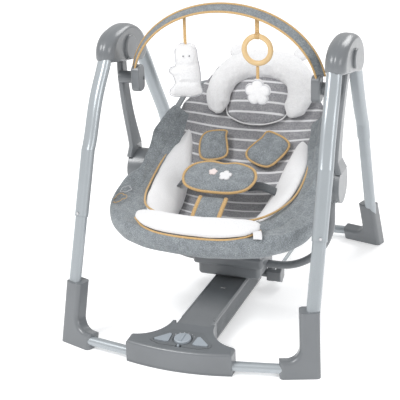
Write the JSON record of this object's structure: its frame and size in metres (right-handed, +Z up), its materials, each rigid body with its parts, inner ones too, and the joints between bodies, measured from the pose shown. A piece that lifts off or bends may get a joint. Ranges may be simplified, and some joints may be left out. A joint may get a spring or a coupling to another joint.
{
  "type": "baby swing",
  "caption": "Folding infant swing: a reclined padded seat hung on two arms between A-shaped tube legs, with a toy bar, harness and a control base.",
  "frame": {"origin": "on the floor, at the centre of the footprint", "axes": "+Z up, +X to one side through the hubs, +Y to the back of the swing; the seat faces -Y"},
  "size_m": [0.513, 0.7262, 0.6124],
  "materials": {
    "frame_silver": "satin silver-gray paint",
    "plastic_dark": "semi-gloss cool gray moulding",
    "plastic_base": "fine matt gray moulding",
    "button_light": "light gray keys",
    "steel": "zinc plated",
    "copper": "enamelled wire",
    "board": "solder mask",
    "battery": "plain sleeve",
    "seat_tube": "satin paint",
    "fabric_heather": "heather gray weave with tan binding",
    "fabric_stripe": "gray jersey with thin white stripes",
    "fabric_white": "soft white plush",
    "plush_white": "white plush",
    "webbing": "dark gray webbing",
    "ring_tan": "tan ring"
  },
  "bodies": {
    "front_frame": {"front_leg_upper_left": "frame_silver", "front_leg_upper_right": "frame_silver", "front_leg_lower_left": "frame_silver", "front_leg_lower_right": "frame_silver", "front_foot_left": "plastic_dark", "front_foot_right": "plastic_dark", "front_crossbar_left": "frame_silver", "front_crossbar_right": "frame_silver", "hub_inner_left": "plastic_dark", "hub_inner_right": "plastic_dark", "hub_outer_left": "plastic_dark", "hub_outer_right": "plastic_dark", "control_housing": "plastic_dark", "housing_base": "plastic_base", "battery_door": "plastic_base", "batteries": "battery", "circuit_board": "board", "control_faceplate": "plastic_base", "pivot_pins": "steel", "front_rivets": "steel"},
    "spine": {"spine_shell": "plastic_dark", "tee_bar": "plastic_dark", "drive_coil": "copper"},
    "brace": {"brace_rods": "frame_silver"},
    "rear_frame": {"rear_leg_upper_left": "frame_silver", "rear_leg_upper_right": "frame_silver", "rear_leg_lower_left": "frame_silver", "rear_leg_lower_right": "frame_silver", "rear_foot_left": "plastic_dark", "rear_foot_right": "plastic_dark", "rear_crossbar": "frame_silver", "rear_rivets": "steel"},
    "swing": {"swing_arm_left": "plastic_dark", "swing_arm_right": "plastic_dark", "recline_housing_left": "plastic_dark", "recline_housing_right": "plastic_dark", "hanger_tube": "plastic_dark", "drive_housing": "plastic_dark", "drive_magnet": "steel"},
    "seat": {"seat_frame": "seat_tube", "seat_bolster": "fabric_heather", "seat_pad": "fabric_stripe", "side_pads": "fabric_white", "front_pad": "fabric_white", "headrest": "plush_white", "crotch_strap": "fabric_heather", "belly_pad": "fabric_heather", "shoulder_pads": "fabric_heather", "waist_straps": "webbing"},
    "toy_bar": {"toy_band": "fabric_heather", "toy_clips": "plastic_dark"},
    "plush_toy": {"plush_animal": "plush_white"},
    "ring_toy": {"toy_ring": "ring_tan"},
    "flower_toy": {"plush_flower": "plush_white"},
    "knob": {"speed_knob": "button_light"},
    "sound_key": {"sound_button": "button_light"},
    "volume_key": {"volume_button": "button_light"},
    "power_slider": {"power_switch": "button_light"},
    "fold_key_left": {"fold_button_left": "plastic_dark"},
    "fold_key_right": {"fold_button_right": "plastic_dark"}
  },
  "joints": [
    {"name": "fold", "type": "hinge", "parent": "front_frame", "child": "rear_frame", "pos_m": [0, 0.045, 0.5], "axis": [-1, 0, 0], "range_deg": [0, 22]},
    {"name": "spine_fold", "type": "hinge", "parent": "front_frame", "child": "spine", "pos_m": [0, -0.27, 0.026], "axis": [-1, 0, 0], "range_deg": [0, 44]},
    {"name": "brace_fold", "type": "hinge", "parent": "spine", "child": "brace", "pos_m": [0, 0.04, 0.028], "axis": [1, 0, 0], "range_deg": [0, 82.5]},
    {"name": "swing", "type": "hinge", "parent": "front_frame", "child": "swing", "pos_m": [0, -0.01, 0.525], "axis": [1, 0, 0], "range_deg": [-10, 10]},
    {"name": "recline", "type": "hinge", "parent": "swing", "child": "seat", "pos_m": [0, 0, 0.257], "axis": [1, 0, 0], "range_deg": [0, 12]},
    {"name": "toy_bar_tilt", "type": "hinge", "parent": "swing", "child": "toy_bar", "pos_m": [0, -0.04, 0.458], "axis": [1, 0, 0], "range_deg": [-25, 70]},
    {"name": "plush_sway", "type": "hinge", "parent": "toy_bar", "child": "plush_toy", "pos_m": [-0.079, -0.05, 0.5852], "axis": [1, 0, 0], "range_deg": [-25, 25]},
    {"name": "ring_sway", "type": "hinge", "parent": "toy_bar", "child": "ring_toy", "pos_m": [0.066, -0.05, 0.5892], "axis": [1, 0, 0], "range_deg": [-25, 25]},
    {"name": "flower_sway", "type": "hinge", "parent": "ring_toy", "child": "flower_toy", "pos_m": [0.066, -0.05, 0.4965], "axis": [1, 0, 0], "range_deg": [-25, 25]},
    {"name": "knob_turn", "type": "hinge", "parent": "front_frame", "child": "knob", "pos_m": [0, -0.323, 0.0455], "axis": [0, -0.0872, 0.9962], "range_deg": [0, 240]},
    {"name": "sound_press", "type": "slide", "parent": "front_frame", "child": "sound_key", "axis": [0, 0.0872, -0.9962], "range_m": [0, 0.0015], "stiffness_N_per_m": 300},
    {"name": "volume_press", "type": "slide", "parent": "front_frame", "child": "volume_key", "axis": [0, 0.0872, -0.9962], "range_m": [0, 0.0015], "stiffness_N_per_m": 300},
    {"name": "power_slide", "type": "slide", "parent": "front_frame", "child": "power_slider", "axis": [1, 0, 0], "range_m": [0, 0.004]},
    {"name": "fold_press_left", "type": "slide", "parent": "front_frame", "child": "fold_key_left", "axis": [1, 0, 0], "range_m": [0, 0.002], "stiffness_N_per_m": 600},
    {"name": "fold_press_right", "type": "slide", "parent": "front_frame", "child": "fold_key_right", "axis": [-1, 0, 0], "range_m": [0, 0.002], "stiffness_N_per_m": 600}
  ],
  "couplings": [
    {"joint": "spine_fold", "follows": "fold", "ratio": 2},
    {"joint": "brace_fold", "follows": "fold", "ratio": 3.75}
  ]
}
